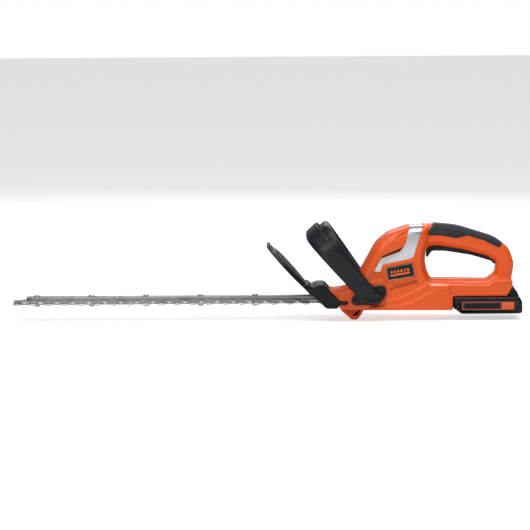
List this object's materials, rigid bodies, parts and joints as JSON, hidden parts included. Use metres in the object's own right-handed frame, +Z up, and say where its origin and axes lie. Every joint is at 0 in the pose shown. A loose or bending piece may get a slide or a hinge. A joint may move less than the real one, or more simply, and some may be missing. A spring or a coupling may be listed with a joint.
{
  "type": "hedge trimmer",
  "caption": "Cordless hedge trimmer: split housing with rear grip and full-length trigger, leaning bail handle, hand guard, geared double-edged blades and a slide-on battery.",
  "frame": {"origin": "middle of the overall box on the ground plane, at the height of the bumper under the nose", "axes": "+X from the blade tip to the battery, +Z up, -Y is the left side of the tool"},
  "size_m": [0.7935, 0.144, 0.1513],
  "materials": {
    "housing": "moulded orange plastic with a fine satin grain",
    "black_plastic": "moulded black plastic, satin",
    "rubber": "soft overmoulded grip rubber, matt",
    "silver": "silver-grey plastic trim, satin",
    "badge": "glossy dark plate with a plain border",
    "blade": "ground tool steel, oiled",
    "steel": "zinc-plated steel",
    "cast": "die-cast aluminium",
    "bronze": "sintered bronze",
    "cell": "shrink-wrapped cells"
  },
  "bodies": {
    "body": {"badge_left": "badge", "badge_right": "badge", "bail_screw_left_front": "steel", "bail_screw_left_rear": "steel", "bail_screw_right_front": "steel", "bail_screw_right_rear": "steel", "bail_shell": "black_plastic", "blade_bolt_1": "steel", "blade_bolt_2": "steel", "blade_bolt_3": "steel", "blade_bolt_4": "steel", "blade_bolt_5": "steel", "blade_nut_1": "steel", "blade_nut_2": "steel", "blade_nut_3": "steel", "blade_nut_4": "steel", "blade_nut_5": "steel", "gearcase_lower": "cast", "gearcase_screw_left": "steel", "gearcase_screw_right": "steel", "gearcase_upper": "cast", "guard_screw_left": "steel", "guard_screw_right": "steel", "hand_guard": "black_plastic", "housing_left": "housing", "housing_right": "housing", "housing_screw_base": "steel", "housing_screw_dome": "steel", "housing_screw_front": "steel", "housing_screw_rear": "steel", "housing_screw_top": "steel", "lever_pin_left": "steel", "lever_pin_right": "steel", "lower_bush": "bronze", "motor_can": "cast", "motor_end_cap": "black_plastic", "rear_grip": "rubber", "side_band_left": "silver", "side_band_right": "silver", "support_bar": "blade", "switch_body": "black_plastic", "terminal_block": "black_plastic", "trigger_pin": "steel", "trigger_spring": "steel", "upper_bush": "bronze"},
    "blade_upper": {"upper_blade": "blade"},
    "blade_lower": {"lower_blade": "blade"},
    "gear": {"drive_gear": "steel", "upper_cam": "steel", "lower_cam": "steel", "gear_shaft": "steel"},
    "motor": {"rotor": "steel", "pinion": "steel", "fan": "black_plastic"},
    "trigger_lever": {"trigger": "black_plastic"},
    "bail_lever": {"bail_switch_lever": "black_plastic"},
    "battery": {"battery_lower_case": "black_plastic", "battery_upper_case": "black_plastic", "battery_cells": "cell"},
    "latch": {"battery_latch": "black_plastic"}
  },
  "joints": [
    {"name": "drive_gear_spin", "type": "hinge", "parent": "body", "child": "gear", "pos_m": [0.1695, 0, 0.0355], "axis": [0, 0, 1], "range_deg": [-90, 90]},
    {"name": "motor_spin", "type": "hinge", "parent": "body", "child": "motor", "pos_m": [0.201, 0, 0.0355], "axis": [0, 0, 1], "range_deg": [-540, 540]},
    {"name": "upper_blade_slide", "type": "slide", "parent": "body", "child": "blade_upper", "axis": [1, 0, 0], "range_m": [-0.00625, 0.00625]},
    {"name": "lower_blade_slide", "type": "slide", "parent": "body", "child": "blade_lower", "axis": [1, 0, 0], "range_m": [-0.00625, 0.00625]},
    {"name": "trigger_squeeze", "type": "hinge", "parent": "body", "child": "trigger_lever", "pos_m": [0.3465, 0, 0.1085], "axis": [0, 1, 0], "range_deg": [0, 3.2], "stiffness_Nm_per_rad": 4, "springref_deg": -2.86},
    {"name": "bail_switch_squeeze", "type": "hinge", "parent": "body", "child": "bail_lever", "pos_m": [0.14179, 0, 0.05939], "axis": [0, -1, 0], "range_deg": [0, 4], "stiffness_Nm_per_rad": 6, "springref_deg": -5.73},
    {"name": "battery_slide", "type": "slide", "parent": "body", "child": "battery", "axis": [1, 0, 0], "range_m": [0, 0.1]},
    {"name": "battery_latch_press", "type": "slide", "parent": "battery", "child": "latch", "axis": [0, 0, -1], "range_m": [0, 0.0025], "stiffness_N_per_m": 1500, "springref_m": -0.002}
  ],
  "couplings": [
    {"joint": "motor_spin", "follows": "drive_gear_spin", "ratio": -6},
    {"joint": "upper_blade_slide", "follows": "drive_gear_spin", "m_per_rad": -0.003979},
    {"joint": "lower_blade_slide", "follows": "drive_gear_spin", "m_per_rad": 0.003979}
  ]
}
